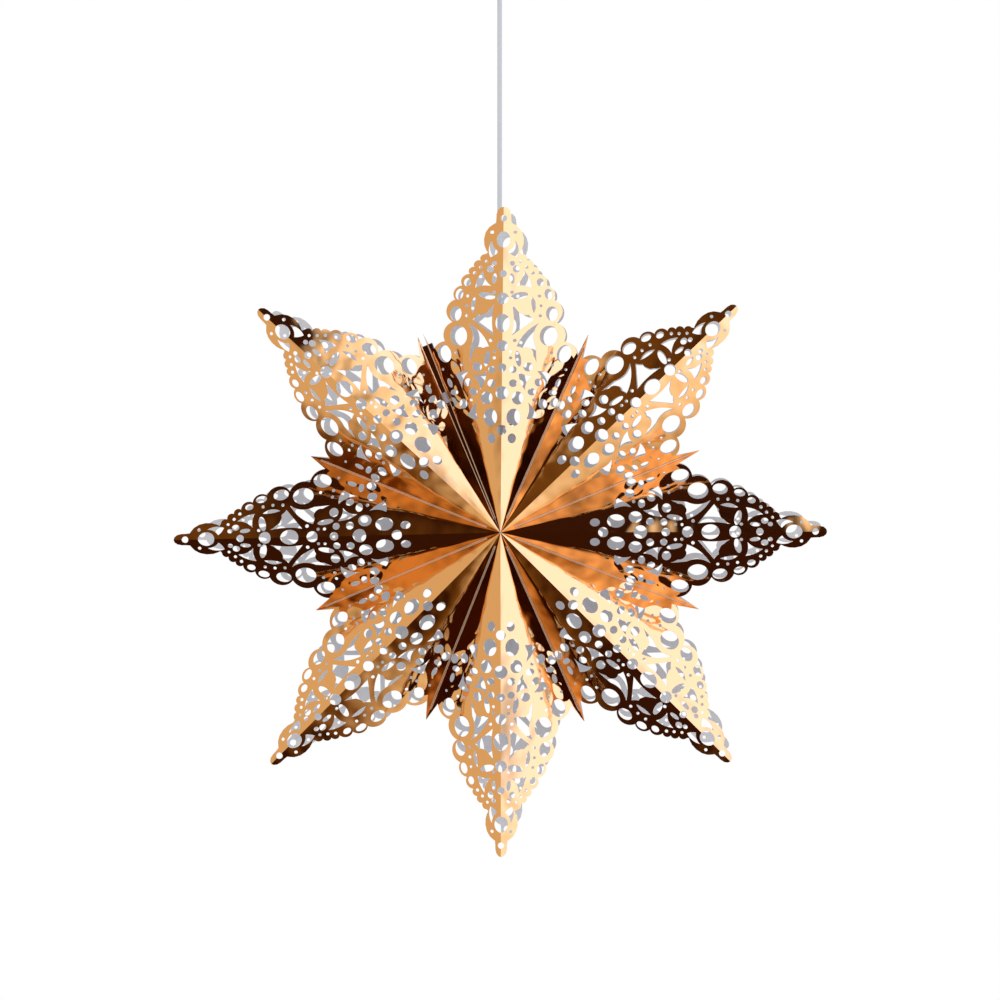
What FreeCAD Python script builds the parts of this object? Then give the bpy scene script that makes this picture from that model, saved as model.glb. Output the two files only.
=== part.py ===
import FreeCAD, Part
import Sketcher
import math
import os
from FreeCAD import Placement, Rotation, Vector

# A hanging paper star: eight front and eight back points of die-cut foil paper, pleated
# and joined along sixteen seams, with a small lampholder on a cord from a ceiling cup.
# Millimetres, +Z up, the star faces -Y. The origin is the ceiling face of the cup.

SIZES = {
    # star
    "star_drop": 650.0,          # ceiling to the middle of the star
    "star_offset": 6.5,          # the star hangs this far to the right of the cord
    "star_radius": 350.0,
    "apex_height": 100.0,        # middle plane to the middle of the front
    "tip_height": 58.0,          # middle plane to the tip of a front point
    "seam_radius": 229.0,        # where front and back seams meet
    "seam_height": 0.3,
    "crease_height_slope": 0.228,
    "crease_share": 0.49,        # where a point's face bends, as a share of its half angle
    "half_angle": 22.5,          # the angle that the lace is drawn for
    "paper": 0.5,                # along the star's axis, 0.4 across the sheet
    "centre_hole": 1.5,
    "band": 5.0,                 # plain strip beside a seam where the spike leaves the lace
    "band_start": 204.0,
    "fin_rise": 3.0,             # glued edge that stands in each seam
    "fin_start": 16.0,
    "fin_end": 218.0,
    "open_gap": 1.6,             # degrees left open at the closing seam
    "pad_start": 150.0,
    "pad_length": 12.0,
    # ceiling fitting
    "cup_radius": 48.0,
    "cup_depth": 42.0,
    "cup_wall": 1.5,
    "strap": 1.5,
    "strap_wide": 16.0,
    "strap_long": 90.0,
    "stirrup_wide": 12.0,
    "stirrup_long": 44.0,
    "ceiling_hole": 2.3,
    "ceiling_spacing": 60.0,
    "terminal_long": 26.0,
    "terminal_wide": 14.0,
    "terminal_deep": 13.0,
    "terminal_pitch": 12.0,
    "terminal_slot": 4.0,
    "grip_radius": 8.0,
    "grip_long": 15.0,
    "grip_stem": 5.0,
    "grip_rise": 9.0,
    "stem_fit": 5.05,
    "nut_thick": 3.5,
    "nut_corner": 9.2,
    # cord
    "cord_radius": 2.55,
    "cord_fit": 2.6,
    "cord_bevel": 26.0,          # degrees that its top end falls away to each side
    # lampholder, heights from the middle of the star
    "holder_mouth": 5.0,
    "holder_joint": 33.0,
    "holder_shoulder": 50.0,
    "holder_top": 62.0,
    "holder_radius": 14.0,
    "holder_inner": 12.0,
    "holder_neck": 7.0,
    "block_low": 26.8,
    "shell_low": 8.0,
    "shell_inner": 7.4,
    "shell_radius": 7.9,
    "tongue_long": 8.0,
    "tongue_wide": 4.0,
    "contact_gap": 0.2,
    # bulb, heights from the middle of the star
    "bulb_low": -52.0,
    "globe_radius": 22.5,
    "globe_neck": 10.5,
    "globe_top": 2.0,
    "cap_top": 21.5,
    "cap_radius": 6.9,
    "insulator_radius": 4.9,
    "button_radius": 3.0,
    "button_top": 25.5,
    # hanger
    "hanger_thick": 0.6,
    "hanger_wide": 3.0,
    "ring_inner": 3.4,
    "ring_outer": 6.8,
    "ring_gap": 0.2,
    "hook_radius": 111.5,
    "hook_out": 3.0,
    "hook_wide": 7.0,
}

# Directions of the eight points, counterclockwise from the right as seen from the front.
POINT_AZIMUTHS = [0.0, 43.9, 89.8, 138.0, 181.8, 225.3, 269.7, 314.7]
TIP_REACH = [347.0, 347.0, 347.0, 355.0, 357.0, 357.0, 353.0, 348.0]
TIP_FLARE = [0.0, 0.0, 0.14, 0.0, 0.0, 0.0, 0.0, 0.0]   # the hanger spreads the top point
FLARE_START = 150.0
FLARE_RUN = 130.0
FACETS = 20             # sides of the small round pieces of the lampholder and bulb
OPEN_AFTER = 2          # the closing seam lies between this point and the next

# Scallops along the free edge of a point, tip first: (along, across, radius, chords).
SCALLOPS = [
    (290.5, 17.5, 8.0, 2),
    (279.5, 25.0, 8.2, 2),
    (269.8, 31.5, 8.6, 2),
    (256.0, 38.0, 9.8, 2),
    (237.5, 42.0, 13.8, 2),
    (211.5, 44.5, 15.8, 2),
    (190.0, 57.5, 15.6, 2),
]
# Rounded tongue and shoulder at the tip, from the tip inwards: (along, across).
TIP_EDGE = [(350.0, 2.4), (343.0, 6.4), (332.5, 6.7), (326.0, 14.6), (314.0, 17.9),
            (300.8, 14.2)]
# Round holes on the ridge: (along, half length, half width, corners).
RIDGE_HOLES = [(109.5, 5.4, 5.4, 6), (149.3, 7.2, 7.2, 6), (224.5, 9.8, 8.0, 6),
               (314.6, 8.9, 7.4, 6)]
# Round holes in the scallops: (along, across, half length, half width).
SIDE_HOLES = [(235.3, 46.2, 8.2, 5.8), (211.3, 44.3, 11.1, 8.8), (192.1, 60.3, 9.9, 7.2)]
SIDE_HOLE_CORNERS = 5
# Cut-outs between them: corners (along, across).
CUT_OUTS = [
    [(246.0, 8.2), (228.0, 10.2), (210.9, 9.1), (228.6, 29.8)],
    [(281.5, 18.6), (264.5, 11.2), (262.8, 26.4)],
    [(225.0, 34.0), (199.4, 14.5), (188.0, 32.0)],
]

SCRATCH_REACH = 420.0   # longer than any point, for cutting prisms


doc = FreeCAD.newDocument("paper_star")
sheet = doc.addObject("Spreadsheet::Sheet", "Sizes")
for row, (name, value) in enumerate(SIZES.items(), start=1):
    sheet.set(f"A{row}", name)
    sheet.set(f"B{row}", str(value))
    sheet.setAlias(f"B{row}", name)
doc.recompute()

pieces = []


def size(name):
    """A driving dimension, read back from the sheet."""
    return float(getattr(sheet, name))


def keep(obj, label):
    """Names an object as a finished piece of the star."""
    obj.Label = label
    pieces.append(obj)
    return obj


def bind(obj, **bindings):
    """Binds properties to expressions; each name in an expression is a cell of the sheet."""
    for prop, words in bindings.items():
        obj.setExpression(prop.replace("__", "."), expression(words))


def expression(words):
    for name in sorted(SIZES, key=len, reverse=True):
        words = words.replace(f"[{name}]", f"Sizes.{name}")
    return words


def star_middle():
    return Vector(size("star_offset"), 0, -size("star_drop"))


# ---------------------------------------------------------------- turned pieces

def turned(label, profile, base):
    """A body turned round Z: profile is (radius, height) expressions, base its height."""
    body = doc.addObject("PartDesign::Body", label)
    plane = [f for f in body.Origin.OriginFeatures if f.Role == "XZ_Plane"][0]
    sketch = body.newObject("Sketcher::SketchObject", f"{label}_profile")
    sketch.AttachmentSupport = [(plane, "")]
    sketch.MapMode = "FlatFace"
    spots = [(evaluate(r), evaluate(z)) for r, z in profile]
    count = len(spots)
    for i, (r, z) in enumerate(spots):
        r_next, z_next = spots[(i + 1) % count]
        line = Part.LineSegment(Vector(r, z, 0), Vector(r_next, z_next, 0))
        sketch.addGeometry(line, False)
    for i in range(count):
        sketch.addConstraint(Sketcher.Constraint("Coincident", i, 2, (i + 1) % count, 1))
    for i, (words_r, words_z) in enumerate(profile):
        for kind, words, value, axis in (("DistanceX", words_r, spots[i][0], -2),
                                         ("DistanceY", words_z, spots[i][1], -1)):
            if abs(value) < 1e-9:
                sketch.addConstraint(Sketcher.Constraint("PointOnObject", i, 1, axis))
                continue
            index = sketch.addConstraint(Sketcher.Constraint(kind, -1, 1, i, 1, value))
            name = f"{'radius' if kind == 'DistanceX' else 'level'}{i}"
            sketch.renameConstraint(index, name)
            sketch.setExpression(f"Constraints.{name}", expression(words))
    turn = body.newObject("PartDesign::Revolution", f"{label}_turn")
    turn.Profile = sketch
    turn.ReferenceAxis = (sketch, ["V_Axis"])
    turn.Angle = 360
    sketch.Visibility = False
    body.Tip = turn
    bind(body, Placement__Base__z=base)
    return keep(body, label)


def evaluate(words):
    for name in sorted(SIZES, key=len, reverse=True):
        words = words.replace(f"[{name}]", repr(size(name)))
    return float(sum_of(words))


def sum_of(words):
    """The value of a plain sum of numbers and products such as 2 * 3.5."""
    total, sign = 0.0, 1.0
    for word in words.replace(" * ", "*").split():
        if word in "+-":
            sign = -1.0 if word == "-" else 1.0
            continue
        value = 1.0
        for factor in word.split("*"):
            value *= float(factor)
        total += sign * value
    return total


# ---------------------------------------------------------------- paper points

def line_height(slope, radius):
    return size("apex_height") - slope * radius


def slopes():
    """Fall per millimetre from the apex along the ridge, the crease and the seam."""
    apex = size("apex_height")
    ridge = (apex - size("tip_height")) / size("star_radius")
    seam = (apex - size("seam_height")) / size("seam_radius")
    return ridge, size("crease_height_slope"), seam


def pleated_slab(left, right):
    """Four flat facets through the apex, thickened along the star's axis."""
    ridge, crease, seam = slopes()
    share = size("crease_share")
    rays = [(-right, seam), (-right * share, crease), (0.0, ridge),
            (left * share, crease), (left, seam)]
    ends = []
    for azimuth, slope in rays:
        angle = math.radians(azimuth)
        ends.append(Vector(SCRATCH_REACH * math.cos(angle), SCRATCH_REACH * math.sin(angle),
                           line_height(slope, SCRATCH_REACH)))
    apex = Vector(0, 0, size("apex_height"))
    facets = []
    for near, far in zip(ends, ends[1:]):
        face = Part.Face(Part.makePolygon([apex, near, far, apex]))
        facets.append(face.extrude(Vector(0, 0, -size("paper"))))
    return facets[0].multiFuse(facets[1:])


def meeting_point(first, second):
    """The outer point where two neighbouring scallops cross."""
    (x1, y1, r1, _), (x2, y2, r2, _) = first, second
    gap = math.hypot(x2 - x1, y2 - y1)
    along = (gap * gap + r1 * r1 - r2 * r2) / (2 * gap)
    rise = math.sqrt(r1 * r1 - along * along)
    ux, uy = (x2 - x1) / gap, (y2 - y1) / gap
    return x1 + along * ux - rise * uy * -1, y1 + along * uy + rise * ux * -1


def scallop_edge():
    """The free edge from the shoulder at the tip to the plain band at the seam."""
    half = math.radians(size("half_angle"))
    band_u = size("band_start") * math.cos(half) + size("band") * math.sin(half)
    band_v = size("band_start") * math.sin(half) - size("band") * math.cos(half)
    joints = [TIP_EDGE[-1]]
    for first, second in zip(SCALLOPS, SCALLOPS[1:]):
        joints.append(meeting_point(first, second))
    joints.append((band_u, band_v))
    edge = []
    for (x, y, radius, chords), start, end in zip(SCALLOPS, joints, joints[1:]):
        first = math.atan2(start[1] - y, start[0] - x)
        last = math.atan2(end[1] - y, end[0] - x)
        if last < first:
            last += 2 * math.pi
        for step in range(1, chords):
            angle = first + (last - first) * step / chords
            edge.append((x + radius * math.cos(angle), y + radius * math.sin(angle)))
        edge.append(end)
    return edge


def half_edge():
    """Half of a point's outline: the free edge from the tip, then the seam's two ends."""
    half = math.radians(size("half_angle"))
    spike = (size("seam_radius") * math.cos(half), size("seam_radius") * math.sin(half))
    hub = (size("centre_hole") * math.cos(half), size("centre_hole") * math.sin(half))
    return TIP_EDGE + scallop_edge(), [spike, hub]


def ring_of(along, across, half_long, half_wide, corners):
    """Corners of a round hole, the first towards the tip of the point."""
    spots = []
    for step in range(corners):
        angle = 2 * math.pi * step / corners
        spots.append((along + half_long * math.cos(angle), across + half_wide * math.sin(angle)))
    return spots


def flat_wire(spots):
    corners = [Vector(u, v, 0) for u, v in spots]
    return Part.makePolygon(corners + corners[:1])


def spread(angle):
    """How far a half point opens across, against the angle that the lace is drawn for."""
    return math.tan(math.radians(angle)) / math.tan(math.radians(size("half_angle")))


def placed(spots, reach, flare, across):
    """The lace drawn to a point's own length, flared towards the tip."""
    return [(u * reach / size("star_radius"),
             v * across * (1 + flare * max(0.0, (u - FLARE_START) / FLARE_RUN)))
            for u, v in spots]


def lace_face(left, right, reach, flare):
    """The point's outline with its holes, seen along the star's axis."""
    free, seam = half_edge()
    outline = placed(free, reach, flare, spread(left))
    outline += [(u, v * spread(left)) for u, v in seam]
    outline += [(u, -v * spread(right)) for u, v in reversed(seam)]
    outline += reversed(placed(free, reach, flare, -spread(right)))
    holes = []
    for along, half_long, half_wide, corners in RIDGE_HOLES:
        holes.append(placed(ring_of(along, 0.0, half_long, half_wide, corners), reach, 0.0, 1.0))
    for across in (spread(left), -spread(right)):
        for hole in SIDE_HOLES:
            holes.append(placed(ring_of(*hole, SIDE_HOLE_CORNERS), reach, flare, across))
        for corners in CUT_OUTS:
            holes.append(placed(corners, reach, flare, across))
    face = Part.Face(flat_wire(outline))
    return face.cut(Part.makeCompound([Part.Face(flat_wire(hole)) for hole in holes]))


def seam_fin(angle, side):
    """The glued edge of a sheet that stands up along its seam."""
    seam = slopes()[2]
    start, end, rise = size("fin_start"), size("fin_end"), size("fin_rise")
    turn = math.radians(angle) * side
    corners = []
    for radius, lift in ((start, -size("paper")), (end, -size("paper")), (end, 0.6),
                         (end - 4 * rise, rise), (start, rise)):
        corners.append(Vector(radius * math.cos(turn), radius * math.sin(turn),
                              line_height(seam, radius) + lift))
    face = Part.Face(Part.makePolygon(corners + corners[:1]))
    inward = Vector(math.sin(turn), -math.cos(turn), 0) * side * size("paper")
    return face.extrude(inward)


def point_shape(left, right, reach, flare):
    """One die-cut, pleated point: ridge along local X, apex on local Z."""
    prism = lace_face(left, right, reach, flare).extrude(Vector(0, 0, size("apex_height") + 1))
    pleats = prism.common(pleated_slab(left, right))
    whole = pleats.fuse([seam_fin(left, 1.0), seam_fin(right, -1.0)]).removeSplitter()
    return whole.Solids[0] if len(whole.Solids) == 1 else whole


def half_angles():
    """(left, right) half angle of each point; neighbours meet midway."""
    count = len(POINT_AZIMUTHS)
    halves = []
    for i, azimuth in enumerate(POINT_AZIMUTHS):
        after = (POINT_AZIMUTHS[(i + 1) % count] - azimuth) % 360 / 2
        before = (azimuth - POINT_AZIMUTHS[i - 1]) % 360 / 2
        if i == OPEN_AFTER:
            after -= size("open_gap") / 2
        if i == OPEN_AFTER + 1:
            before -= size("open_gap") / 2
        halves.append((after, before))
    return halves


def paper_points():
    """Eight front sheets and eight back sheets, numbered from the right-hand point."""
    shapes = zip(POINT_AZIMUTHS, half_angles(), TIP_REACH, TIP_FLARE)
    for i, (azimuth, (left, right), reach, flare) in enumerate(shapes, start=1):
        for side, tilt, shape in (("front", 90, point_shape(left, right, reach, flare)),
                                  ("back", -90, point_shape(right, left, reach, flare))):
            piece = doc.addObject("Part::Feature", f"{side}_point_{i}")
            piece.Shape = shape
            turn = Rotation(Vector(0, 1, 0), -azimuth) * Rotation(Vector(1, 0, 0), tilt)
            piece.Placement = Placement(star_middle(), turn)
            keep(piece, f"{side}_point_{i}")


def closing_pads():
    """Fastening pads between the two glued edges of the closing seam, front and back."""
    seam = slopes()[2]
    gap = math.radians(size("open_gap"))
    start, rise = size("pad_start"), size("fin_rise")
    end = start + size("pad_length")
    middle = (POINT_AZIMUTHS[OPEN_AFTER] + POINT_AZIMUTHS[OPEN_AFTER + 1]) / 2
    width = 2 * start * math.sin(gap / 2) - 0.02
    corners = [Vector(r, -width / 2, line_height(seam, r) + lift)
               for r, lift in ((start, 0), (end, 0), (end, rise), (start, rise))]
    block = Part.Face(Part.makePolygon(corners + corners[:1])).extrude(Vector(0, width, 0))
    pads = []
    for tilt in (90, -90):
        turn = Rotation(Vector(0, 1, 0), -middle) * Rotation(Vector(1, 0, 0), tilt)
        pad = block.copy()
        pad.Placement = Placement(star_middle(), turn)
        pads.append(pad)
    piece = doc.addObject("Part::Feature", "closing_pads")
    piece.Shape = Part.makeCompound(pads)
    keep(piece, "closing_pads")


# ---------------------------------------------------------------- hanger

def flat_strip(start, run, wide, long):
    """A flat strip of the hanger's steel along a run, level across."""
    thick = size("hanger_thick")
    strip = Part.makeBox(wide, long, thick, Vector(-wide / 2, 0, -thick / 2))
    across = Vector(0, 0, 1).cross(run) * (1 if run.y < 0 else -1)
    strip.Placement = Placement(start, Rotation(across, run, Vector(0, 0, 1), "YXZ"))
    return strip


def star_hanger():
    """A steel ring round the cord, with a sprung arm hooked through each top point."""
    thick, root_radius = size("hanger_thick"), size("ring_outer") - 1
    low = -size("star_drop") + size("holder_top") + size("ring_gap")
    outer = polygon_face(size("ring_outer"), low)
    ring = outer.cut(polygon_face(size("ring_inner"), low)).extrude(Vector(0, 0, thick))
    reach = line_height(slopes()[0], size("hook_radius"))
    turn = math.radians(POINT_AZIMUTHS[OPEN_AFTER])
    solids = [ring]
    for side in (-1.0, 1.0):
        hook = star_middle() + Vector(size("hook_radius") * math.cos(turn), side * reach,
                                      size("hook_radius") * math.sin(turn))
        root = Vector(0, side * root_radius, low + thick / 2)
        run = hook - root
        long = run.Length + size("hook_out")
        run.normalize()
        solids.append(flat_strip(root, run, size("hanger_wide"), long))
        end = root + run * (long - size("hook_out") / 2)
        solids.append(flat_strip(end, run, size("hook_wide"), size("hook_out") / 2))
    piece = doc.addObject("Part::Feature", "star_hanger")
    piece.Shape = solids[0].multiFuse(solids[1:]).removeSplitter()
    keep(piece, "star_hanger")


def polygon_face(radius, height):
    corners = [Vector(radius * math.cos(2 * math.pi * i / FACETS),
                      radius * math.sin(2 * math.pi * i / FACETS), height)
               for i in range(FACETS)]
    return Part.Face(Part.makePolygon(corners + corners[:1]))


# ---------------------------------------------------------------- ceiling fitting

def ceiling_cup():
    """A turned steel cup, open at the ceiling, with a hole for the grip's stem."""
    turned("ceiling_cup", [
        ("[cup_radius] - [cup_wall]", "[cup_depth]"),
        ("[cup_radius]", "[cup_depth]"),
        ("[cup_radius]", "0"),
        ("[stem_fit]", "0"),
        ("[stem_fit]", "[cup_wall]"),
        ("[cup_radius] - [cup_wall]", "[cup_wall]"),
    ], "-[cup_depth]")


def box(name, long, wide, high, corner):
    made = doc.addObject("Part::Box", name)
    bind(made, Length=long, Width=wide, Height=high)
    made.Placement.Base = corner
    return made


def drilled(label, base, tools):
    """A blank with its holes cut out."""
    made = doc.addObject("Part::Cut", f"{label}_cut")
    made.Base = base
    made.Tool = tools[0]
    if len(tools) > 1:
        made.Tool = doc.addObject("Part::MultiFuse", f"{label}_drills")
        made.Tool.Shapes = tools
    return keep(made, label)


def drill(name, radius, high, corner):
    made = doc.addObject("Part::Cylinder", name)
    bind(made, Radius=radius, Height=high)
    made.Placement.Base = corner
    return made


def ceiling_bracket():
    """A strap on the ceiling with a stirrup under it; the stem's nut sits on the stirrup."""
    strap, wide, long = size("strap"), size("strap_wide"), size("strap_long")
    deep, across, width = size("cup_depth"), size("stirrup_long"), size("stirrup_wide")
    foot = -deep + size("cup_wall")
    parts = [box("strap_plate", "[strap_long]", "[strap_wide]", "[strap]",
                 Vector(-long / 2, -wide / 2, -strap)),
             box("stirrup_foot", "[stirrup_long]", "[stirrup_wide]", "[strap]",
                 Vector(-across / 2, -width / 2, foot))]
    for x, name in ((-across / 2, "left"), (across / 2 - strap, "right")):
        parts.append(box(f"stirrup_leg_{name}", "[strap]", "[stirrup_wide]",
                         "[cup_depth] - [cup_wall] - [strap]", Vector(x, -width / 2, foot)))
    blank = doc.addObject("Part::MultiFuse", "bracket_blank")
    blank.Shapes = parts
    holes = [drill(f"ceiling_hole_{name}", "[ceiling_hole]", "2 * [strap]",
                   Vector(side * size("ceiling_spacing"), 0, -1.5 * strap))
             for side, name in ((-0.5, "left"), (0.5, "right"))]
    holes.append(drill("stem_hole", "[stem_fit]", "2 * [strap]", Vector(0, 0, foot - strap / 2)))
    drilled("ceiling_bracket", blank, holes)


def terminal_block():
    """A two-pole terminal block under the strap, with a slot for each wire."""
    long, wide, deep = size("terminal_long"), size("terminal_wide"), size("terminal_deep")
    low = -size("strap") - deep
    body = box("terminal_body", "[terminal_long]", "[terminal_wide]", "[terminal_deep]",
               Vector(-long / 2, -wide / 2, low))
    slot = size("terminal_slot")
    slots = [box(f"terminal_slot_{name}", "[terminal_slot]", "[terminal_wide] - 4",
                 "[terminal_deep] - 3",
                 Vector(side * size("terminal_pitch") - slot / 2, -wide / 2 + 2, low))
             for side, name in ((-0.5, "left"), (0.5, "right"))]
    drilled("terminal_block", body, slots)


def cord_grip():
    """The grip whose stem passes up through the cup, bored for the cord."""
    turned("cord_grip", [
        ("[cord_fit]", "0"),
        ("[grip_radius]", "0"),
        ("[grip_radius]", "[grip_long]"),
        ("[grip_stem]", "[grip_long]"),
        ("[grip_stem]", "[grip_long] + [grip_rise]"),
        ("[cord_fit]", "[grip_long] + [grip_rise]"),
    ], "-[cup_depth] - [grip_long]")


def grip_nut():
    """The hexagon nut that clamps cup and stirrup on the grip's stem."""
    blank = doc.addObject("Part::Prism", "grip_nut_blank")
    blank.Polygon = 6
    bind(blank, Circumradius="[nut_corner]", Height="[nut_thick]")
    foot = -size("cup_depth") + size("cup_wall") + size("strap")
    blank.Placement.Base = Vector(0, 0, foot)
    hole = drill("grip_nut_hole", "[stem_fit]", "[nut_thick]", Vector(0, 0, foot))
    drilled("grip_nut", blank, [hole])


def cord_tail():
    """The end of the cord inside the cup, from the grip's mouth up to the terminals."""
    tail = drill("cord_tail", "[cord_radius]",
                 "[cup_depth] + [grip_long] - [strap] - [terminal_deep]",
                 Vector(0, 0, swing_height()))
    keep(tail, "cord_tail")


# ---------------------------------------------------------------- cord and lampholder

def swing_height():
    """The grip's mouth, where the cord swings."""
    return -size("cup_depth") - size("grip_long")


def pendant_cord():
    """The free cord: straight, its top end bevelled both ways so that it can swing."""
    low = -size("star_drop") + size("holder_top")
    top = swing_height()
    run = drill("cord_run", "[cord_radius]",
                "[star_drop] - [holder_top] - [cup_depth] - [grip_long]", Vector(0, 0, low))
    wedges = []
    for side, name in ((1, "back"), (-1, "front")):
        wedge = box(f"cord_bevel_{name}", "4 * [cord_radius]", "4 * [cord_radius]",
                    "4 * [cord_radius]", Vector(0, 0, 0))
        reach = 2 * size("cord_radius")
        tilt = Rotation(Vector(1, 0, 0), -side * size("cord_bevel"))
        shift = Vector(-reach, 0 if side > 0 else -2 * reach, 0)
        wedge.Placement = Placement(Vector(0, 0, top) + tilt.multVec(shift), tilt)
        wedges.append(wedge)
    drilled("pendant_cord", run, wedges)
    doc.recompute()
    section = math.pi * size("cord_radius") ** 2
    print(f"cord: straight, {top - low:.1f} mm long, volume {run.Shape.Volume:.1f} mm3"
          f" against {section * (top - low):.1f} mm3")


def prism(label, radius, low, high):
    """A round piece with flat sides between two heights."""
    rings = []
    for name, height in (("low", low), ("high", high)):
        ring = doc.addObject("Part::RegularPolygon", f"{label}_{name}")
        ring.Polygon = FACETS
        bind(ring, Circumradius=radius, Placement__Base__z=f"{height} - [star_drop]")
        rings.append(ring)
    loft = doc.addObject("Part::Loft", f"{label}_loft")
    loft.Sections = rings
    loft.Solid = True
    loft.Ruled = True
    return loft


def tapered(label, levels):
    """A round piece with flat sides through several levels: (radius, height)."""
    rings = []
    for radius, height in levels:
        rings.append([Vector(radius * math.cos(2 * math.pi * i / FACETS),
                             radius * math.sin(2 * math.pi * i / FACETS),
                             height - size("star_drop")) for i in range(FACETS)])
    faces = [Part.Face(Part.makePolygon(ring + ring[:1])) for ring in (rings[0], rings[-1])]
    for low, high in zip(rings, rings[1:]):
        for i in range(FACETS):
            j = (i + 1) % FACETS
            faces.append(Part.Face(Part.makePolygon([low[i], low[j], high[j], high[i],
                                                     low[i]])))
    piece = doc.addObject("Part::Feature", label)
    piece.Shape = Part.makeSolid(Part.makeShell(faces))
    return keep(piece, label)


def sleeve(label, outer, inner, low, high):
    """A moulded tube."""
    made = doc.addObject("Part::Cut", f"{label}_cut")
    made.Base = prism(f"{label}_outside", outer, low, high)
    made.Tool = prism(f"{label}_inside", inner, low, high)
    return keep(made, label)


def lampholder():
    """Cap, outer shell, contact block, screw shell and centre contact."""
    tapered("holder_cap", [(size("holder_radius"), size("holder_joint")),
                           (size("holder_radius"), size("holder_shoulder")),
                           (size("holder_neck"), size("holder_top") - 2),
                           (size("holder_neck"), size("holder_top"))])
    sleeve("holder_shell", "[holder_radius]", "[holder_inner]", "[holder_mouth]",
           "[holder_joint]")
    keep(prism("contact_block", "[holder_inner]", "[block_low]", "[holder_joint]"),
         "contact_block")
    sleeve("screw_shell", "[shell_radius]", "[shell_inner]", "[shell_low]", "[block_low]")
    tongue = box("centre_contact", "[tongue_long]", "[tongue_wide]",
                 "[block_low] - [button_top] - [contact_gap]",
                 Vector(-size("tongue_long") / 2, -size("tongue_wide") / 2,
                        -size("star_drop") + size("button_top") + size("contact_gap")))
    keep(tongue, "centre_contact")


def bulb():
    """A small opal globe bulb with its screw cap and contact."""
    low, radius, neck = size("bulb_low"), size("globe_radius"), size("globe_neck")
    tapered("bulb_globe", [(0.35 * radius, low), (0.77 * radius, low + 0.36 * radius),
                           (radius, low + radius), (0.86 * radius, low + 1.5 * radius),
                           (neck, low + 2.1 * radius), (neck, size("globe_top"))])
    keep(prism("bulb_cap", "[cap_radius]", "[globe_top]", "[cap_top]"), "bulb_cap")
    tapered("bulb_contact", [(size("insulator_radius"), size("cap_top")),
                             (size("button_radius"), size("button_top") - 1),
                             (size("button_radius"), size("button_top"))])


# ---------------------------------------------------------------- whole object

ceiling_cup()
ceiling_bracket()
terminal_block()
cord_grip()
grip_nut()
cord_tail()
pendant_cord()
lampholder()
bulb()
star_hanger()
paper_points()
closing_pads()
doc.recompute()

for obj in doc.Objects:
    if {"Invalid", "Error"} & set(obj.State):
        raise RuntimeError(f"{obj.Label} did not build: {obj.State}")
for piece in pieces:
    if piece.Shape.isNull() or not piece.Shape.isValid():
        raise RuntimeError(f"{piece.Label} has no valid shape")

os.makedirs("parts", exist_ok=True)
for piece in pieces:
    piece.Shape.exportStep(f"parts/{piece.Label}.step")
print(f"{len(pieces)} pieces written")
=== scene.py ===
"""Paper star pendant: foil lace, lampholder, cord and ceiling cup, lit for a plain studio."""

import math

import bmesh
import bpy
from mathutils import Matrix, Vector
from mathutils.geometry import delaunay_2d_cdt

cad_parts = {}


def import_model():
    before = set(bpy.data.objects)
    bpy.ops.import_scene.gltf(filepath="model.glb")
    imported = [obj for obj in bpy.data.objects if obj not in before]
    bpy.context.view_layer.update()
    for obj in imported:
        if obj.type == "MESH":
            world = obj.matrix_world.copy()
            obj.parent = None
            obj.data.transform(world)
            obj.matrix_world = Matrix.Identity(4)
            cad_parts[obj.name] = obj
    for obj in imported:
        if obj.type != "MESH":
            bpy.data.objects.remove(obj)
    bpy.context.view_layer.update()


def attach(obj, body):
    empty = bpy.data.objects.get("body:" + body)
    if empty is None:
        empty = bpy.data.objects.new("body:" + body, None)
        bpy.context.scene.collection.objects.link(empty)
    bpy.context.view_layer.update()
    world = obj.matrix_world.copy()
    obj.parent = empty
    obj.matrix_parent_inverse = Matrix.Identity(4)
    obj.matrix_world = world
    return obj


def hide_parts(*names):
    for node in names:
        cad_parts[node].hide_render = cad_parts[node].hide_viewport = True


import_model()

MM = 0.001

# ---------------------------------------------------------------- sizes shared with the model
STAR_DROP = 650.0
STAR_OFFSET = 6.5
APEX_HEIGHT = 100.0
TIP_HEIGHT = 58.0
STAR_RADIUS = 350.0
SEAM_RADIUS = 229.0
SEAM_HEIGHT = 0.3
CREASE_SLOPE = 0.228
CREASE_SHARE = 0.49
HALF_ANGLE = 22.5
PAPER = 0.4
CENTRE_HOLE = 1.5
FIN_START = 16.0
FIN_END = 218.0
OPEN_GAP = 1.6          # degrees left open at the closing seam
POINT_AZIMUTHS = [0.0, 43.9, 89.8, 138.0, 181.8, 225.3, 269.7, 314.7]
TIP_REACH = [347.0, 347.0, 347.0, 355.0, 357.0, 357.0, 353.0, 348.0]
TIP_FLARE = [0.0, 0.0, 0.14, 0.0, 0.0, 0.0, 0.0, 0.0]   # the hanger spreads the top point
FLARE_START = 150.0
FLARE_RUN = 130.0
OPEN_AFTER = 2          # the closing seam follows this point, counted from 0
SWING_Z = -57.0
HOLDER_TOP = 62.0
CORD_RADIUS = 2.55

# ---------------------------------------------------------------- sizes of this scene alone
FIN_RISE = 1.0          # the glued edge shows as a thin line; the solid's edge is taller
FIN_PAPER = 0.35        # from the seam to the glued edge
FIN_SLANT = 4.0         # the glued edge's outer end slants back by this much
FLAP_DEPTH = 1.4        # from the sheet down to the far edge of the strip under the gap
FLAP_OVER = 1.9         # the strip's width, as a share of the closing seam's gap
FOLD_REACH = 1.2        # the folds run past the tips, as a share of the star's radius
END_TAPER = 1.4         # the cord's end narrows in the grip's mouth, so that it can swing
END_RADIUS = 0.1        # share of the cord's radius at its very end
CORD_LEAD = 40.0        # the cord's curve has a point this far from each end

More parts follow.
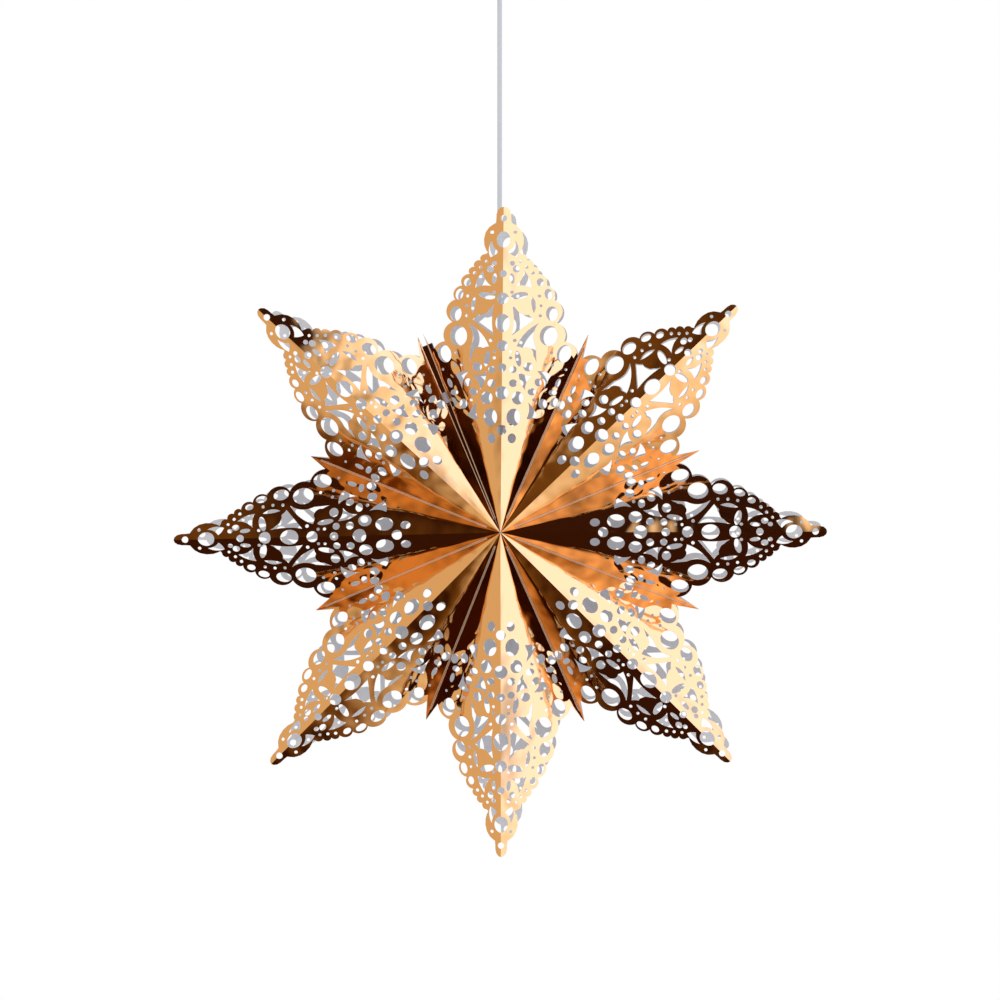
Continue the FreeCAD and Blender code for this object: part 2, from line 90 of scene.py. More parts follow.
STAR_CENTRE = Vector((STAR_OFFSET, 0.0, -STAR_DROP))


def linked(name, data):
    """A new object in the scene."""
    obj = bpy.data.objects.new(name, data)
    bpy.context.scene.collection.objects.link(obj)
    return obj


# ---------------------------------------------------------------- camera
CAMERA_RIGHT = 3.2      # degrees from the star's axis
CAMERA_ABOVE = 2.2
CAMERA_AWAY = 3100.0
AIM_LEFT = 6.1          # mm from the star's middle to the picture's middle
AIM_UP = 30.7
PICTURE_WIDTH = 1095.0  # mm across the picture at the star
SENSOR = 36.0


def add_camera():
    right, above = math.radians(CAMERA_RIGHT), math.radians(CAMERA_ABOVE)
    away = Vector((math.sin(right) * math.cos(above), -math.cos(right) * math.cos(above),
                   math.sin(above)))
    aim = STAR_CENTRE + Vector((-AIM_LEFT, 0.0, AIM_UP))
    data = bpy.data.cameras.new("camera")
    data.sensor_width = SENSOR
    data.lens = SENSOR * CAMERA_AWAY / PICTURE_WIDTH
    camera = linked("camera", data)
    camera.location = (aim + away * CAMERA_AWAY) * MM
    camera.rotation_euler = (-away).to_track_quat("-Z", "Y").to_euler()
    bpy.context.scene.camera = camera


# ---------------------------------------------------------------- materials

def material(name):
    mat = bpy.data.materials.new(name)
    mat.use_nodes = True
    return mat, mat.node_tree.nodes, mat.node_tree.links


def shader_of(nodes):
    return nodes["Principled BSDF"]


def set_inputs(node, **values):
    for name, value in values.items():
        node.inputs[name.replace("_", " ")].default_value = value


def noise(nodes, links, scale, detail=3.0, roughness=0.5):
    coords = nodes.new("ShaderNodeTexCoord")
    node = nodes.new("ShaderNodeTexNoise")
    set_inputs(node, Scale=scale, Detail=detail, Roughness=roughness)
    links.new(coords.outputs["Object"], node.inputs["Vector"])
    return node


def bowed_normal(nodes, links):
    """The smooth normal of the bowed paper, which each sheet carries in itself."""
    lie = nodes.new("ShaderNodeAttribute")
    lie.attribute_name = "lie"
    turned = nodes.new("ShaderNodeVectorTransform")
    turned.vector_type = "NORMAL"
    turned.convert_from, turned.convert_to = "OBJECT", "WORLD"
    links.new(lie.outputs["Vector"], turned.inputs["Vector"])
    return turned.outputs["Vector"]


def add_bump(nodes, links, height, strength, distance, normal=None):
    bump = nodes.new("ShaderNodeBump")
    set_inputs(bump, Strength=strength, Distance=distance)
    links.new(height, bump.inputs["Height"])
    if normal is not None:
        links.new(normal, bump.inputs["Normal"])
    return bump.outputs["Normal"]


# Unevenness of the foil: (noise scale, noise detail, bump strength, bump height in m).
FOIL_WARP = (6.0, 0.0, 0.9, 0.022)
FOIL_WAVES = (34.0, 1.0, 0.35, 0.005)
FOIL_GRAIN = (900.0, 3.0, 0.04, 0.0003)
GRAIN_HEIGHT = 0.0003   # m, on every other surface
GLOSS_SPREAD = 0.08     # the gloss varies this much about its middle


def foil():
    """Copper foil: a mirror, warped slightly, with slow waves and fine grain."""
    mat, nodes, links = material("copper_foil")
    shader = shader_of(nodes)
    set_inputs(shader, Base_Color=(0.95, 0.50, 0.18, 1.0), Metallic=1.0, Roughness=0.06)
    normal = bowed_normal(nodes, links)
    for scale, detail, strength, height in (FOIL_WARP, FOIL_WAVES, FOIL_GRAIN):
        uneven = noise(nodes, links, scale, detail)
        normal = add_bump(nodes, links, uneven.outputs["Fac"], strength, height, normal)
    links.new(normal, shader.inputs["Normal"])
    return mat


def card(name, colour, roughness):
    """A matte pale surface with paper grain: the card, its cut edges and the floor."""
    mat, nodes, links = material(name)
    shader = shader_of(nodes)
    set_inputs(shader, Base_Color=(*colour, 1.0), Roughness=roughness)
    grain = noise(nodes, links, 1500.0, detail=4.0)
    normal = add_bump(nodes, links, grain.outputs["Fac"], 0.15, GRAIN_HEIGHT)
    links.new(normal, shader.inputs["Normal"])
    return mat


def plain(name, colour, roughness, metallic=0.0, grain_scale=700.0, bump=0.05):
    """A moulded or metal surface with fine grain and uneven gloss."""
    mat, nodes, links = material(name)
    shader = shader_of(nodes)
    set_inputs(shader, Base_Color=(*colour, 1.0), Roughness=roughness, Metallic=metallic)
    grain = noise(nodes, links, grain_scale, detail=4.0)
    spread = nodes.new("ShaderNodeMapRange")
    set_inputs(spread, To_Min=roughness - GLOSS_SPREAD, To_Max=roughness + GLOSS_SPREAD)
    links.new(grain.outputs["Fac"], spread.inputs["Value"])
    links.new(spread.outputs["Result"], shader.inputs["Roughness"])
    normal = add_bump(nodes, links, grain.outputs["Fac"], bump, GRAIN_HEIGHT)
    links.new(normal, shader.inputs["Normal"])
    return mat


FOIL = foil()
# The star's inner card is white; its colour is set to grey as painted shade inside the star.
INNER_PAINTED_SHADE = card("white_card", (0.66, 0.66, 0.69), 0.7)
EDGE = card("cut_edge", (0.80, 0.62, 0.48), 0.6)
CORD = plain("cord_sheath", (0.62, 0.64, 0.66), 0.45)
PLASTIC = plain("white_plastic", (0.86, 0.86, 0.84), 0.35)
PAINT = plain("white_paint", (0.88, 0.88, 0.87), 0.3, bump=0.03)
STEEL = plain("bright_steel", (0.62, 0.62, 0.64), 0.28, metallic=1.0)
BRASS = plain("brass", (0.80, 0.58, 0.26), 0.3, metallic=1.0)
CERAMIC = plain("ceramic", (0.85, 0.83, 0.78), 0.5)
BLACK = plain("black_glass", (0.02, 0.02, 0.02), 0.15)
PAD = plain("grey_pad", (0.34, 0.29, 0.33), 0.35)

NODE_MATERIALS = {
    "ceiling_cup": PAINT, "ceiling_bracket": STEEL, "terminal_block": PLASTIC,
    "cord_grip": PLASTIC, "grip_nut": PLASTIC, "cord_tail": CORD, "holder_cap": PLASTIC,
    "holder_shell": PLASTIC, "contact_block": CERAMIC, "screw_shell": BRASS,
    "centre_contact": BRASS, "bulb_cap": STEEL, "bulb_contact": BLACK,
    "star_hanger": STEEL, "closing_pads": PAD,
}


def dress_nodes():
    for name, mat in NODE_MATERIALS.items():
        obj = bpy.data.objects[name]
        obj.data.materials.clear()
        obj.data.materials.append(mat)


# ---------------------------------------------------------------- lace pattern, in mm
# One half of a point: along the ridge from the star's middle, and across from the ridge.

# Round and oval holes: (along, across, half length, half width, turn in degrees).
HOLES = [
    (100.5, 10.5, 5.4, 4.3, 0), (123.0, 12.0, 9.5, 7.2, 0), (143.8, 16.2, 7.2, 6.2, 0),
    (159.7, 11.2, 4.2, 4.2, 0), (174.4, 10.8, 3.8, 3.8, 0),
    (186.9, 8.2, 1.8, 1.8, 0), (193.8, 8.0, 1.8, 1.8, 0), (205.8, 11.8, 2.0, 2.0, 0),
    (257.7, 8.3, 2.0, 1.8, 0), (254.2, 15.2, 3.7, 8.1, -15),
    (186.1, 15.6, 8.7, 2.9, -10), (177.3, 25.8, 5.0, 5.0, 0),
    (160.6, 36.4, 4.6, 3.7, -20), (150.4, 30.5, 3.9, 4.6, 0), (141.8, 32.6, 1.9, 1.9, 0),
    (291.4, 15.4, 1.7, 1.7, 0), (285.1, 21.0, 1.8, 1.8, 0), (279.1, 26.6, 1.9, 1.9, 0),
    (269.2, 33.8, 4.6, 3.4, -9), (256.4, 41.9, 6.1, 3.8, -13), (235.3, 46.2, 8.2, 5.8, -8),
    (211.3, 44.3, 11.1, 8.8, 0), (192.1, 60.3, 9.9, 7.2, 12),
    (159.9, 56.0, 5.4, 2.5, 18), (149.7, 51.5, 3.2, 4.3, 0), (139.0, 53.0, 5.4, 4.3, 18),
    (137.3, 41.5, 5.4, 4.5, 0),
    (254.2, 33.6, 1.8, 1.8, 0), (243.6, 35.2, 1.8, 1.8, 0), (232.8, 35.2, 1.8, 1.8, 0),
    (193.0, 47.8, 1.8, 1.8, 0), (179.3, 49.4, 1.8, 1.8, 0), (179.8, 42.4, 1.8, 1.8, 0),
    (174.8, 63.0, 1.6, 1.6, 0),
    (272.6, 8.1, 5.8, 2.3, -6), (283.0, 11.8, 4.0, 3.3, 0), (289.0, 8.2, 2.8, 2.4, 0),
    (322.8, 10.2, 1.9, 1.9, 0),
]
RIDGE_HOLES = [
    (109.5, 5.4, 5.4), (149.3, 7.2, 7.2), (176.5, 4.6, 4.6), (200.0, 6.0, 6.0),
    (224.5, 9.8, 8.0), (251.0, 6.4, 6.4), (277.6, 4.0, 4.0), (314.6, 8.9, 7.4),
    (337.6, 3.6, 3.6),
]
# Cut-outs with curved sides: corners (along, across) and how far the side to the next
# corner bulges out of the cut-out, as a share of that side's length.
CURVED = [
    [(246.0, 8.2, -0.05), (210.9, 9.1, 0.0), (228.6, 29.8, -0.05), (233.8, 24.4, -0.12),
     (234.4, 18.6, -0.12), (239.2, 13.1, -0.05)],
    [(225.0, 34.4, -0.14), (199.0, 32.4, 0.0), (181.8, 33.8, -0.03), (189.6, 30.2, -0.15),
     (197.3, 27.2, -0.20), (197.6, 19.6, -0.05), (199.4, 13.6, 0.09)],
    [(281.5, 18.6, -0.11), (264.5, 11.2, -0.10), (262.8, 26.4, 0.08)],
    [(254.5, 26.3, 0.16), (235.2, 29.0, 0.06)],
    [(314.0, 10.3, -0.12), (301.5, 4.2, 0.08), (295.6, 12.0, 0.12)],
    [(168.2, 49.2, 0.13), (172.7, 34.6, -0.12), (151.8, 42.4, -0.05)],
    [(167.8, 30.5, -0.12), (172.8, 16.4, 0.09), (152.2, 23.4, -0.13)],
    [(139.3, 26.6, -0.10), (121.3, 25.0, 0.15), (124.5, 36.2, 0.05)],
]
# Free edge: the tip, then scallops (along, across, radius), tip first.
TIP_EDGE = [(350.0, 0.0), (349.3, 2.8), (346.5, 5.2), (342.0, 6.3), (337.0, 6.4),
            (332.8, 6.8), (331.0, 9.5), (328.3, 12.8), (323.0, 16.0), (316.0, 17.6),
            (309.0, 17.3), (304.0, 15.8), (300.8, 14.2)]
SCALLOPS = [
    (294.5, 16.5, 4.8), (288.0, 22.5, 4.8), (281.0, 27.5, 4.8), (269.8, 31.5, 8.3),
    (256.0, 38.0, 9.8), (237.5, 42.0, 13.8), (211.5, 44.5, 15.8), (190.0, 57.5, 15.6),
]
BAND = 5.0              # plain strip beside the seam where the scallops end
BAND_START = 204.0      # its distance from the star's middle
ARC_STEP = 2.2          # mm between the points of a curve
SMALL_ARC_STEP = 1.3    # the same on scallops and on small holes
SMALL_HOLE = 4.5        # a hole is small below this half length
CUT_TOLERANCE = 1e-5    # mm


def oval(along, across, half_long, half_wide, turn):
    step = SMALL_ARC_STEP if half_long < SMALL_HOLE else ARC_STEP
    count = max(8, int(math.pi * (half_long + half_wide) / step))
    tilt = math.radians(turn)
    spots = []
    for i in range(count):
        angle = 2 * math.pi * i / count
        x, y = half_long * math.cos(angle), half_wide * math.sin(angle)
        spots.append((along + x * math.cos(tilt) - y * math.sin(tilt),
                      across + x * math.sin(tilt) + y * math.cos(tilt)))
    return spots


def bulged(corners):
    """A closed outline whose sides are parabolas through their own bulges."""
    middle_u = sum(c[0] for c in corners) / len(corners)
    middle_v = sum(c[1] for c in corners) / len(corners)
    spots = []
    for i, (u, v, bulge) in enumerate(corners):
        u_next, v_next, _ = corners[(i + 1) % len(corners)]
        du, dv = u_next - u, v_next - v
        length = math.hypot(du, dv)
        nu, nv = dv / length, -du / length
        out = (u + du / 2 - middle_u) * nu + (v + dv / 2 - middle_v) * nv
        side = 1.0 if out > -1e-6 else -1.0
        count = max(2, int(length / ARC_STEP))
        for k in range(count):
            t = k / count
            lift = 4 * t * (1 - t) * bulge * length * side
            spots.append((u + du * t + nu * lift, v + dv * t + nv * lift))
    return spots


def crossing(first, second):
    """The outer crossing of two circles, each (along, across, radius)."""
    (x1, y1, r1), (x2, y2, r2) = first, second
    gap = math.hypot(x2 - x1, y2 - y1)
    along = (gap * gap + r1 * r1 - r2 * r2) / (2 * gap)
    rise = math.sqrt(max(r1 * r1 - along * along, 0.0))
    ux, uy = (x2 - x1) / gap, (y2 - y1) / gap
    return x1 + along * ux + rise * uy, y1 + along * uy - rise * ux


def scallops():
    """The scalloped edge from the shoulder down to the plain strip beside the seam."""
    half = math.radians(HALF_ANGLE)
    band = (BAND_START * math.cos(half) + BAND * math.sin(half),
            BAND_START * math.sin(half) - BAND * math.cos(half))
    joints = [TIP_EDGE[-1]]
    joints += [crossing(a, b) for a, b in zip(SCALLOPS, SCALLOPS[1:])]
    joints.append(band)
    spots = []
    for (x, y, radius), start, end in zip(SCALLOPS, joints, joints[1:]):
        first = math.atan2(start[1] - y, start[0] - x)
        last = math.atan2(end[1] - y, end[0] - x)
        if last < first:
            last += 2 * math.pi
        count = max(3, int((last - first) * radius / SMALL_ARC_STEP))
        for k in range(1, count + 1):
            angle = first + (last - first) * k / count
            spots.append((x + radius * math.cos(angle), y + radius * math.sin(angle)))
    spots[-1] = band
    return spots


def seam_ends():
    half = math.radians(HALF_ANGLE)
    return [(radius * math.cos(half), radius * math.sin(half))
            for radius in (SEAM_RADIUS, CENTRE_HOLE)]


def widen(angle):
    """How much wider a side of this angle is than the side that the lace is drawn for."""
    return math.tan(math.radians(angle)) / math.tan(math.radians(HALF_ANGLE))


def placed(spots, reach, flare, across):
    """The lace drawn to a point's own length, flared towards the tip."""
    return [(u * reach / STAR_RADIUS,
             v * across * (1 + flare * max(0.0, (u - FLARE_START) / FLARE_RUN)))
            for u, v in spots]


def lace_outline(left, right, reach, flare):
    free = TIP_EDGE + scallops()
    outline = placed(free, reach, flare, widen(left))
    outline += [(u, v * widen(left)) for u, v in seam_ends()]
    outline += [(u, -v * widen(right)) for u, v in reversed(seam_ends())]
    return outline + placed(reversed(free[1:]), reach, flare, -widen(right))


def lace_holes(left, right, reach, flare):
    holes = [placed(oval(u, 0.0, long, wide, 0), reach, 0.0, 1.0)
             for u, long, wide in RIDGE_HOLES]
    shapes = [oval(*hole) for hole in HOLES] + [bulged(corners) for corners in CURVED]
    for across in (widen(left), -widen(right)):
        holes += [placed(spots, reach, flare, across) for spots in shapes]
    return holes


# ---------------------------------------------------------------- pleated surface

def ridge_slope():
    return (APEX_HEIGHT - TIP_HEIGHT) / STAR_RADIUS


def seam_slope():
    return (APEX_HEIGHT - SEAM_HEIGHT) / SEAM_RADIUS


# The crease is rounded: shares of the half angle where its strips start and end.
CREASE_STRIPS = [-0.12, -0.06, 0.0, 0.06, 0.12]
# The foil is shaded as a bowed sheet: (share of the half angle from ridge to seam, slope
# across in degrees).
BOW = [(0.0, 28.0), (0.40, 32.0), (0.55, 42.0), (0.70, 50.0), (1.0, 52.0)]


def rays(left, right):
    """(azimuth, fall per mm) of every fold from the right seam to the left seam."""
    table = [(0.0, ridge_slope())]
    for angle, side in ((right, -1.0), (left, 1.0)):
        for shift in CREASE_STRIPS:
            share = CREASE_SHARE + shift
            table.append((side * angle * share, fall(share)))
        table.append((side * angle, seam_slope()))
    return sorted(table)


def fall(share):
    """Fall per mm of radius at a share of the half angle."""
    reach = CREASE_STRIPS[-1]
    if abs(share - CREASE_SHARE) >= reach:
        return flat_fall(share)
    t = (share - CREASE_SHARE + reach) / (2 * reach)
    low, high = flat_fall(CREASE_SHARE - reach), flat_fall(CREASE_SHARE + reach)
    return (1 - t) ** 2 * low + 2 * t * (1 - t) * CREASE_SLOPE + t ** 2 * high


def flat_fall(share):
    if share < CREASE_SHARE:
        return ridge_slope() + (CREASE_SLOPE - ridge_slope()) * share / CREASE_SHARE
    rest = (share - CREASE_SHARE) / (1 - CREASE_SHARE)
    return CREASE_SLOPE + (seam_slope() - CREASE_SLOPE) * rest


def bow_normal(u, v, left, right, side):
    """The bowed sheet's normal at a spot of the lace, on one side of the ridge."""
    angle = left if side > 0 else right
    share = math.degrees(math.atan2(v, u)) * side / angle
    share = min(max(share, 0.0), 1.0)
    for (start, low), (end, high) in zip(BOW, BOW[1:]):
        if share <= end:
            break
    slope = math.radians(low + (high - low) * (share - start) / (end - start))
    turn = math.radians(angle) * share
    along = Vector((math.cos(turn), side * math.sin(turn), -fall(share)))
    across = Vector((-math.sin(turn), side * math.cos(turn), -math.tan(slope)))
    return along.cross(across).normalized() * side


def facet_height(table, u, v):
    """Height of the pleated sheet above the star's middle plane."""
    azimuth = math.degrees(math.atan2(v, u))
    for (a1, s1), (a2, s2) in zip(table, table[1:]):
        if azimuth <= a2 or (a2, s2) == table[-1]:
            break
    c1, n1 = math.cos(math.radians(a1)), math.sin(math.radians(a1))
    c2, n2 = math.cos(math.radians(a2)), math.sin(math.radians(a2))
    det = c1 * n2 - c2 * n1
    slope_u = (s1 * n2 - s2 * n1) / det
    slope_v = (c1 * s2 - c2 * s1) / det
    return APEX_HEIGHT - slope_u * u - slope_v * v


def cut_out(outline, holes, fold_azimuths):
    """Triangles of the outline without its holes, with an edge along every fold."""
    points, faces, folds = [], [], []
    for loop in [outline] + holes:
        start = len(points)
        turned = sum(a[0] * b[1] - b[0] * a[1] for a, b in zip(loop, loop[1:] + loop[:1]))
        points += [Vector(spot) for spot in (loop if turned > 0 else reversed(loop))]
        faces.append(list(range(start, len(points))))
    for azimuth in fold_azimuths:
        turn = math.radians(azimuth)
        start = len(points)
        points += [Vector((r * math.cos(turn), r * math.sin(turn)))
                   for r in (CENTRE_HOLE, FOLD_REACH * STAR_RADIUS)]
        folds.append((start, start + 1))
    spots, _, triangles, _, _, owners = delaunay_2d_cdt(points, folds, faces, 0, CUT_TOLERANCE)
    kept = [t for t, owner in zip(triangles, owners) if list(owner) == [0]]
    return spots, kept


def sheet_mesh(name, left, right, reach, flare, turn, flap_side):
    """The lace, folded along its ridge and creases, with its glued seam edges. The bowed
    shading goes with each corner."""
    table = rays(left, right)
    folds = [azimuth for azimuth, _ in table[1:-1]]
    spots, triangles = cut_out(lace_outline(left, right, reach, flare),
                               lace_holes(left, right, reach, flare), folds)
    mesh = bmesh.new()
    verts = [mesh.verts.new((u, v, facet_height(table, u, v))) for u, v in spots]
    for triangle in triangles:
        a, b, c = (verts[i] for i in triangle)
        if (b.co - a.co).cross(c.co - a.co).z < 0:
            b, c = c, b
        mesh.faces.new((a, b, c))
    bmesh.ops.delete(mesh, geom=[v for v in mesh.verts if not v.link_faces], context="VERTS")
    for angle, side in ((left, 1.0), (right, -1.0)):
        add_fin(mesh, angle, side)
        if side == flap_side:
            add_flap(mesh, angle, side)
    mesh.normal_update()
    normals = []
    for face in mesh.faces:
        middle = face.calc_center_median()
        side = 1.0 if middle.y > 0 else -1.0
        for corner in face.loops:
            spot = corner.vert.co
            normal = (bow_normal(spot.x, spot.y, left, right, side) if len(face.verts) == 3
                      else face.normal)
            normals.extend(turn @ normal)
    for vert in mesh.verts:
        vert.co *= MM
    data = bpy.data.meshes.new(name)
    mesh.to_mesh(data)
    mesh.free()
    lie = data.attributes.new("lie", "FLOAT_VECTOR", "CORNER")
    lie.data.foreach_set("vector", normals)
    data.transform(Matrix.Translation(STAR_CENTRE * MM) @ turn.to_4x4())
    return data


def add_fin(mesh, angle, side):
    """The edge of the sheet that stands up along the seam, on the sheet's own side."""
    turn = math.radians(angle) * side
    inset = Vector((math.sin(turn), -math.cos(turn), 0.0)) * side * FIN_PAPER
    corners = []
    for radius, lift in ((FIN_START, 0.0), (FIN_END, 0.0), (FIN_END - FIN_SLANT, FIN_RISE),
                         (FIN_START, FIN_RISE)):
        height = APEX_HEIGHT - seam_slope() * radius + lift
        spot = Vector((radius * math.cos(turn), radius * math.sin(turn), height)) + inset
        corners.append(mesh.verts.new(spot))
    if side > 0:
        corners.reverse()
    mesh.faces.new(corners)


def add_flap(mesh, angle, side):
    """The strip under the closing seam, which the other point's edge lies over."""
    corners = []
    for radius, over, depth in ((FIN_START, 0.0, PAPER), (FIN_END, 0.0, PAPER),
                                (FIN_END, FLAP_OVER, FLAP_DEPTH),
                                (FIN_START, FLAP_OVER, FLAP_DEPTH)):
        turn = math.radians(angle + over * OPEN_GAP) * side
        height = APEX_HEIGHT - seam_slope() * radius - depth
        corners.append(mesh.verts.new((radius * math.cos(turn), radius * math.sin(turn),
                                       height)))
    if side < 0:
        corners.reverse()
    mesh.faces.new(corners)


def half_angles():
    count = len(POINT_AZIMUTHS)
    halves = []
    for i, azimuth in enumerate(POINT_AZIMUTHS):
        after = (POINT_AZIMUTHS[(i + 1) % count] - azimuth) % 360 / 2
        before = (azimuth - POINT_AZIMUTHS[i - 1]) % 360 / 2
        if i == OPEN_AFTER:
            after -= OPEN_GAP / 2
        if i == OPEN_AFTER + 1:
            before -= OPEN_GAP / 2
        halves.append((after, before))
    return halves


def add_sheets():
    shapes = zip(POINT_AZIMUTHS, half_angles(), TIP_REACH, TIP_FLARE)
    for i, (azimuth, (left, right), reach, flare) in enumerate(shapes, start=1):
        closing = i == OPEN_AFTER + 2
        for side, tilt, halves, flap_side in (("front", 90.0, (left, right), -1.0),
                                              ("back", -90.0, (right, left), 1.0)):
            turn = (Matrix.Rotation(math.radians(-azimuth), 3, "Y")
                    @ Matrix.Rotation(math.radians(tilt), 3, "X"))
            data = sheet_mesh(f"{side}_lace_{i}", *halves, reach, flare, turn,
                              flap_side if closing else 0.0)
            for mat in (FOIL, INNER_PAINTED_SHADE, EDGE):
                data.materials.append(mat)
            piece = linked(data.name, data)
            thick = piece.modifiers.new("card", "SOLIDIFY")
            thick.thickness = PAPER * MM
            thick.offset = -1.0
            thick.material_offset = 1
            thick.material_offset_rim = 2
            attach(piece, "star")
            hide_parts(f"{side}_point_{i}")


# ---------------------------------------------------------------- cord and bulb

def add_cord():
    low = -STAR_DROP + HOLDER_TOP
    data = bpy.data.curves.new("cord", "CURVE")
    data.dimensions = "3D"
    data.bevel_depth = CORD_RADIUS * MM
    data.bevel_resolution = 4
    data.use_fill_caps = True
    spline = data.splines.new("NURBS")
    heights = [SWING_Z, SWING_Z - END_TAPER, SWING_Z - 2 * END_TAPER,
               SWING_Z - CORD_LEAD, (SWING_Z + low) / 2, low + CORD_LEAD, low]
    spline.points.add(len(heights) - 1)
    for point, height in zip(spline.points, heights):
        point.co = (0.0, 0.0, height * MM, 1.0)
    spline.points[0].radius = END_RADIUS
    spline.order_u = 3
    spline.use_endpoint_u = True
    data.materials.append(CORD)
    cord = linked("cord", data)
    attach(cord, "lamp")
    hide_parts("pendant_cord")


GLOBE_PROFILE = [(0.0, -52.0), (6.0, -51.2), (12.0, -48.6), (17.0, -44.4), (20.6, -38.8),
                 (22.3, -32.4), (22.3, -26.0), (20.8, -20.0), (17.8, -14.2), (14.0, -8.8),
                 (11.4, -4.6), (10.5, 0.0), (10.2, 2.0)]    # (radius, height)
GLOBE_SIDES = 40
WELD = 1e-6             # m


def opal_glass():
    """White opal glass, unlit."""
    mat, nodes, _ = material("opal_glass")
    set_inputs(shader_of(nodes), Base_Color=(0.93, 0.91, 0.87, 1.0), Roughness=0.25,
               Subsurface_Weight=0.3)
    return mat


def add_globe():
    mesh = bmesh.new()
    spots = [mesh.verts.new((r * MM, 0.0, (z - STAR_DROP) * MM)) for r, z in GLOBE_PROFILE]
    edges = [mesh.edges.new(pair) for pair in zip(spots, spots[1:])]
    bmesh.ops.spin(mesh, geom=spots + edges, cent=(0, 0, 0), axis=(0, 0, 1),
                   angle=2 * math.pi, steps=GLOBE_SIDES)
    bmesh.ops.remove_doubles(mesh, verts=mesh.verts, dist=WELD)
    bmesh.ops.recalc_face_normals(mesh, faces=mesh.faces)
    for face in mesh.faces:
        face.smooth = True
    data = bpy.data.meshes.new("globe")
    mesh.to_mesh(data)
    mesh.free()
    data.materials.append(opal_glass())
    globe = linked("globe", data)
    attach(globe, "bulb")
    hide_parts("bulb_globe")


# ---------------------------------------------------------------- light and backdrop

# Lamps: (name, place in m, power in W), all alike in size and colour.
LAMPS = [("key", (1.6, -2.6, 0.9), 14.0), ("fill", (-2.2, -2.0, 0.2), 8.0)]
LAMP_AIM = (0.0, 0.0, -0.65)
LAMP_SIDE = 1.4         # m
LAMP_COLOUR = (1.0, 0.98, 0.95)


def lights():
    """Two soft square lamps that the foil doesn't mirror."""
    for name, place, power in LAMPS:
        data = bpy.data.lights.new(name, "AREA")
        data.shape = "RECTANGLE"
        data.size = data.size_y = LAMP_SIDE
        data.energy = power
        data.color = LAMP_COLOUR
        light = linked(name, data)
        light.location = place
        aim = Vector(LAMP_AIM) - Vector(place)
        light.rotation_euler = aim.to_track_quat("-Z", "Y").to_euler()
        light.visible_glossy = False


# The room that the foil mirrors, round the star's axis: (direction in degrees, 0 to the
# right and 90 up, colour). It has a bright wall at the right and a dimmer warm one at the
# left, with dark between them.
BRIGHT = (1.45, 1.72, 2.90)
PALE = (1.12, 1.16, 1.35)
TAN = (0.73, 0.67, 0.60)
BROWN = (0.17, 0.09, 0.025)
DARK = (0.035, 0.012, 0.006)
ROOM = [(-180, TAN), (-145, TAN), (-134, BROWN), (-122, DARK), (-70, DARK), (-62, BROWN),
        (-48, TAN), (-36, PALE), (-24, BRIGHT), (10, BRIGHT), (52, BRIGHT), (64, PALE),
        (72, DARK), (100, DARK), (134, BROWN), (143, TAN), (180, TAN)]
# The room grows dim in front and behind: cosine to the star's axis, then brightness.
DIM_FROM, DIM_TO = (0.55, 1.0), (0.85, 0.15)
SOFT_WHITE = 0.80       # light on matte surfaces
BACKDROP_WHITE = 1.0    # what the camera sees behind the object
FLOOR_LEVEL = -2600.0   # a plain floor, below the picture
FLOOR_HALF = 1.5        # m


WHITE = (1.0, 1.0, 1.0, 1.0)


def world():
    """White to the eye; the foil mirrors a dark room with bright walls."""
    place = bpy.data.worlds.new("studio")
    bpy.context.scene.world = place
    place.use_nodes = True
    nodes, links = place.node_tree.nodes, place.node_tree.links
    nodes.clear()
    out = nodes.new("ShaderNodeOutputWorld")
    path = nodes.new("ShaderNodeLightPath")
    backdrop, soft, room = (nodes.new("ShaderNodeBackground") for _ in range(3))
    set_inputs(backdrop, Color=WHITE, Strength=BACKDROP_WHITE)
    set_inputs(soft, Color=WHITE, Strength=SOFT_WHITE)
    set_inputs(room, Strength=1.0)
    mirrored = nodes.new("ShaderNodeMixShader")
    links.new(path.outputs["Is Glossy Ray"], mirrored.inputs["Fac"])
    links.new(soft.outputs["Background"], mirrored.inputs[1])
    links.new(room.outputs["Background"], mirrored.inputs[2])
    seen = nodes.new("ShaderNodeMixShader")
    links.new(path.outputs["Is Camera Ray"], seen.inputs["Fac"])
    links.new(mirrored.outputs["Shader"], seen.inputs[1])
    links.new(backdrop.outputs["Background"], seen.inputs[2])
    links.new(seen.outputs["Shader"], out.inputs["Surface"])
    links.new(room_colour(nodes, links), room.inputs["Color"])


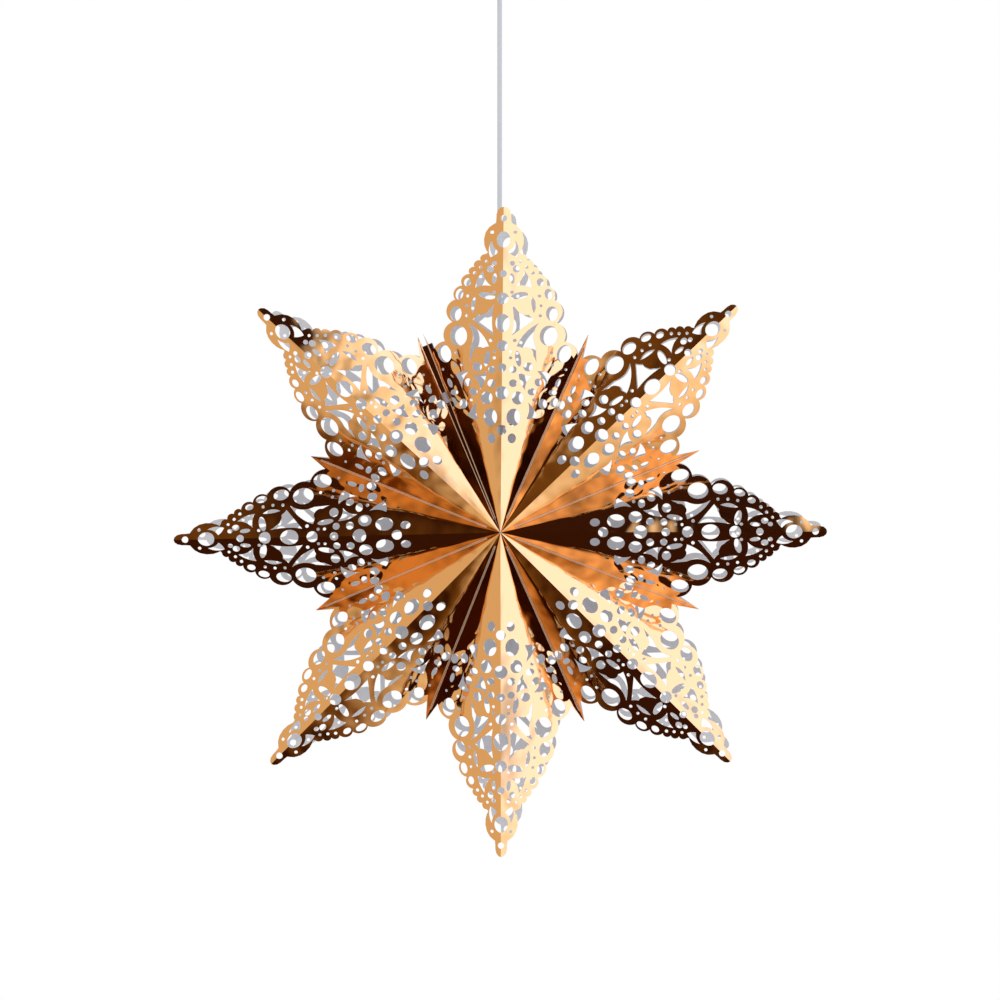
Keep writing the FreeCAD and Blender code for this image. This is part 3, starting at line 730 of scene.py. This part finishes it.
def room_colour(nodes, links):
    """The room's colour by direction round the star's axis, dimmed towards that axis."""
    coords = nodes.new("ShaderNodeTexCoord")
    split = nodes.new("ShaderNodeSeparateXYZ")
    links.new(coords.outputs["Generated"], split.inputs["Vector"])
    angle = nodes.new("ShaderNodeMath")
    angle.operation = "ARCTAN2"
    links.new(split.outputs["Z"], angle.inputs[0])
    links.new(split.outputs["X"], angle.inputs[1])
    share = nodes.new("ShaderNodeMapRange")
    set_inputs(share, From_Min=-math.pi, From_Max=math.pi)
    links.new(angle.outputs["Value"], share.inputs["Value"])
    ramp = nodes.new("ShaderNodeValToRGB")
    links.new(share.outputs["Result"], ramp.inputs["Fac"])
    stops = ramp.color_ramp.elements
    for i, (degrees, colour) in enumerate(ROOM):
        position = (degrees + 180) / 360
        if i == 0:
            stop = stops[0]
        elif i == len(ROOM) - 1:
            stop = stops[-1]
        else:
            stop = stops.new(position)
        stop.position = position
        stop.color = (*colour, 1.0)
    axis = nodes.new("ShaderNodeMath")
    axis.operation = "ABSOLUTE"
    links.new(split.outputs["Y"], axis.inputs[0])
    near = nodes.new("ShaderNodeMapRange")
    set_inputs(near, From_Min=DIM_FROM[0], To_Min=DIM_FROM[1], From_Max=DIM_TO[0],
               To_Max=DIM_TO[1])
    links.new(axis.outputs["Value"], near.inputs["Value"])
    scale = nodes.new("ShaderNodeVectorMath")
    scale.operation = "SCALE"
    links.new(ramp.outputs["Color"], scale.inputs[0])
    links.new(near.outputs["Result"], scale.inputs["Scale"])
    return scale.outputs["Vector"]


def add_floor():
    mesh = bpy.data.meshes.new("studio_floor")
    corners = [(x * FLOOR_HALF, y * FLOOR_HALF, FLOOR_LEVEL * MM)
               for x, y in ((-1, -1), (1, -1), (1, 1), (-1, 1))]
    mesh.from_pydata(corners, [], [(0, 1, 2, 3)])
    mesh.materials.append(card("pale_floor", (0.86, 0.86, 0.86), 0.8))
    floor = linked("studio_floor", mesh)
    floor.visible_glossy = False


add_camera()
add_cord()
dress_nodes()
add_globe()
add_sheets()
add_floor()
world()
lights()
bpy.context.scene.view_settings.view_transform = "Standard"
